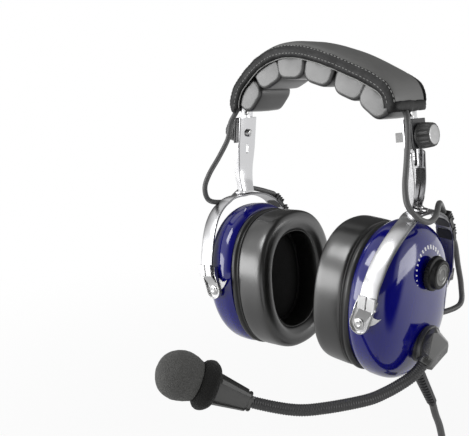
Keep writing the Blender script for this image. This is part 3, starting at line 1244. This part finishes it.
# Ribbed holders that clip the lead to the strip
for s, side in sides.items():
    shapes = []
    for a in clip_angles:
        mid, way = on_bow(a), bow_slope(a) + pi
        holder = [box(-6.9, 6.9, -4.6, 4.6, -2.1, -1.5), box(-6.9, -6.35, -4.6, 4.6, -2.1, 1.2),
                  box(6.35, 6.9, -4.6, 4.6, -2.1, 1.2), box(-6.9, 6.9, -4.6, 4.6, 0.05, 1.3)]
        for k in range(4):
            y = -4.4 + 2.5*k
            holder.append(box(-4.7, 4.7, y, y + 1.3, 1.2, clip_up + 2.7))
        holder.append(box(-3.9, 3.9, -4.4, 4.4, 1.2, clip_up + 2.3))
        for pts, faces in holder:
            pts = np.stack([pts[:, 0], mid[0] + pts[:, 1]*cos(way) - pts[:, 2]*sin(way),
                            mid[1] + pts[:, 1]*sin(way) + pts[:, 2]*cos(way)], axis=1)
            shapes.append((pts, faces))
    shape = joined(*shapes)
    o = piece("cable_holder_" + side, to_stirrup(shape[0], s), shape[1], black_plastic, "stirrup_" + side,
              "black_plastic", ["cable_clips_" + side], smooth=30)
    edged(o, 0.3, 2)

# ---- CAD nodes that keep their own shape ----

def dress(name, mat, edge=0.0):
    """A finish for a CAD node, with its facets merged and its sharp edges eased."""
    o = nodes[name]
    o.data.materials.clear()
    o.data.materials.append(mat)
    if "custom_normal" in o.data.attributes:
        o.data.attributes.remove(o.data.attributes["custom_normal"])
    for f in o.data.polygons:
        f.use_smooth = True
    weld = o.modifiers.new("weld", "WELD")
    weld.merge_threshold = 0.00001
    if edge:
        plane = o.modifiers.new("planes", "DECIMATE")
        plane.decimate_type, plane.angle_limit = "DISSOLVE", radians(0.8)
        edged(o, edge, 2, 32)
    split = o.modifiers.new("split", "EDGE_SPLIT")
    split.split_angle = radians(31)
    return o


for side in sides.values():
    dress("swivel_rivet_" + side, rivet_steel, 0.3)
    dress("cup_baffle_" + side, speaker_plastic)
    dress("ear_speaker_" + side, speaker_plastic)
for name, mat, edge in (("band_spring", band_steel, 0.2), ("band_rivets", rivet_steel, 0.2),
                        ("volume_pot", rivet_steel, 0),
                        ("circuit_board", board_green, 0), ("boom_boss", black_plastic, 0.3),
                        ("mic_capsule", mic_metal, 0.3),
                        ("cord_splitter", black_plastic, 0.4), ("phone_plug", plug_brass, 0),
                        ("mic_plug", plug_brass, 0)):
    dress(name, mat, edge)

# ---- Floor, world and lamps ----
floor_z = -0.2395
plane = bpy.data.meshes.new("floor")
plane.from_pydata([(-30, -30, floor_z), (30, -30, floor_z), (30, 30, floor_z), (-30, 30, floor_z)], [],
                  [(0, 1, 2, 3)])
floor = bpy.data.objects.new("floor", plane)
bpy.context.scene.collection.objects.link(floor)
floor.parent = channels["left"]  # the coil lies on it, so it follows that arm's slide


def maths(tree, operation, *values):
    return node(tree, "ShaderNodeMath", enumerate(values), operation=operation).outputs[0]


def vector_maths(tree, operation, *values):
    output = "Value" if operation in ("LENGTH", "DOT_PRODUCT") else "Vector"
    return node(tree, "ShaderNodeVectorMath", enumerate(values), operation=operation).outputs[output]


def ramp(tree, *values, ease="SMOOTHSTEP"):
    """The first value, taken from the range of the next two to the range of the last two."""
    return node(tree, "ShaderNodeMapRange", enumerate(values), interpolation_type=ease).outputs["Result"]


pale = material("pale_floor", (0.86, 0.86, 0.86), 0.8, vary=0.01, vary_scale=2, specular=0.2)
plane.materials.append(pale)
tree = pale.node_tree
rays = node(tree, "ShaderNodeLightPath").outputs
spot = node(tree, "ShaderNodeTexCoord").outputs["Object"]
far = ramp(tree, vector_maths(tree, "LENGTH", spot), 0.3, 1.1, 0.0, 1.0)
camera_share = maths(tree, "MULTIPLY_ADD", far, 0.16, 0.84)
camera_part = maths(tree, "MULTIPLY", camera_share, rays["Is Camera Ray"])
share_on = maths(tree, "MAXIMUM", camera_part, rays["Is Glossy Ray"])
heading = vector_maths(tree, "NORMALIZE", spot)
beyond = vector_maths(tree, "DOT_PRODUCT", heading, (0.99, -0.08, 0))
open_floor = ramp(tree, beyond, 0.91, 0.83, 0.03, 1.0)
glossy_level = maths(tree, "MULTIPLY", maths(tree, "MULTIPLY_ADD", far, 0.45, 0.55), open_floor)
level = maths(tree, "MAXIMUM", glossy_level, rays["Is Camera Ray"])
glow = node(tree, "ShaderNodeEmission", enumerate([(1, 1, 1, 1), level]))
lit = tree.nodes["Principled BSDF"]
both = node(tree, "ShaderNodeMixShader", enumerate([share_on, lit.outputs[0], glow.outputs[0]]))
tree.links.new(both.outputs[0], tree.nodes["Material Output"].inputs["Surface"])

world = bpy.data.worlds.new("studio")
bpy.context.scene.world = world
world.use_nodes = True
tree = world.node_tree
back = tree.nodes["Background"]
rays = node(tree, "ShaderNodeLightPath").outputs
way = node(tree, "ShaderNodeTexCoord").outputs["Generated"]
tall = vector_maths(tree, "NORMALIZE", vector_maths(tree, "MULTIPLY", way, (1, 1, 0.6)))
lobes = []
for seen, toward, wide, full, lobe_peak in ((tall, (-0.62, -0.78, -0.05), 0.55, 0.93, 1.0),
                                        (way, (0.92, 0.35, 0.2), 0.84, 0.96, 1.0),
                                        (tall, (0.7, 0.7, -0.1), 0.5, 0.93, 0.7),
                                        (way, (-0.5, -0.05, 0.86), 0.75, 0.97, 0.85)):
    facing = vector_maths(tree, "DOT_PRODUCT", seen, tuple(unit(toward)))
    lobes.append(ramp(tree, facing, wide, full, 0.0, lobe_peak))
lobe = lobes[0]
for other in lobes[1:]:
    lobe = maths(tree, "MAXIMUM", lobe, other)
studio = maths(tree, "MULTIPLY_ADD", lobe, 0.92, 0.08)
soft = ramp(tree, rays["Is Glossy Ray"], 0.0, 1.0, 0.5, studio, ease="LINEAR")
strength = maths(tree, "MAXIMUM", soft, rays["Is Camera Ray"])
tree.links.new(strength, back.inputs["Strength"])
back.inputs["Color"].default_value = (1, 1, 1, 1)


def lamp(name, place, aim, size, power, size_y=None):
    data = bpy.data.lights.new(name, "AREA")
    data.energy, data.size = power, size
    if size_y:
        data.shape, data.size_y = "RECTANGLE", size_y
    o = bpy.data.objects.new(name, data)
    o.location = place
    o.rotation_mode = "QUATERNION"
    o.rotation_quaternion = (Vector(aim) - Vector(place)).to_track_quat("-Z", "Y")
    bpy.context.scene.collection.objects.link(o)


lamp("front_box", (-1.05, -1.2, 0.12), (0, 0, 0.02), 1.2, 11, 0.6)
lamp("side_box", (1.35, 0.55, 0.14), (0, 0, 0.02), 0.9, 6.5, 0.6)
lamp("key", (-0.6, -1.1, 1.3), (0, 0, 0.02), 0.7, 11)

bpy.context.scene.view_settings.view_transform = "Standard"
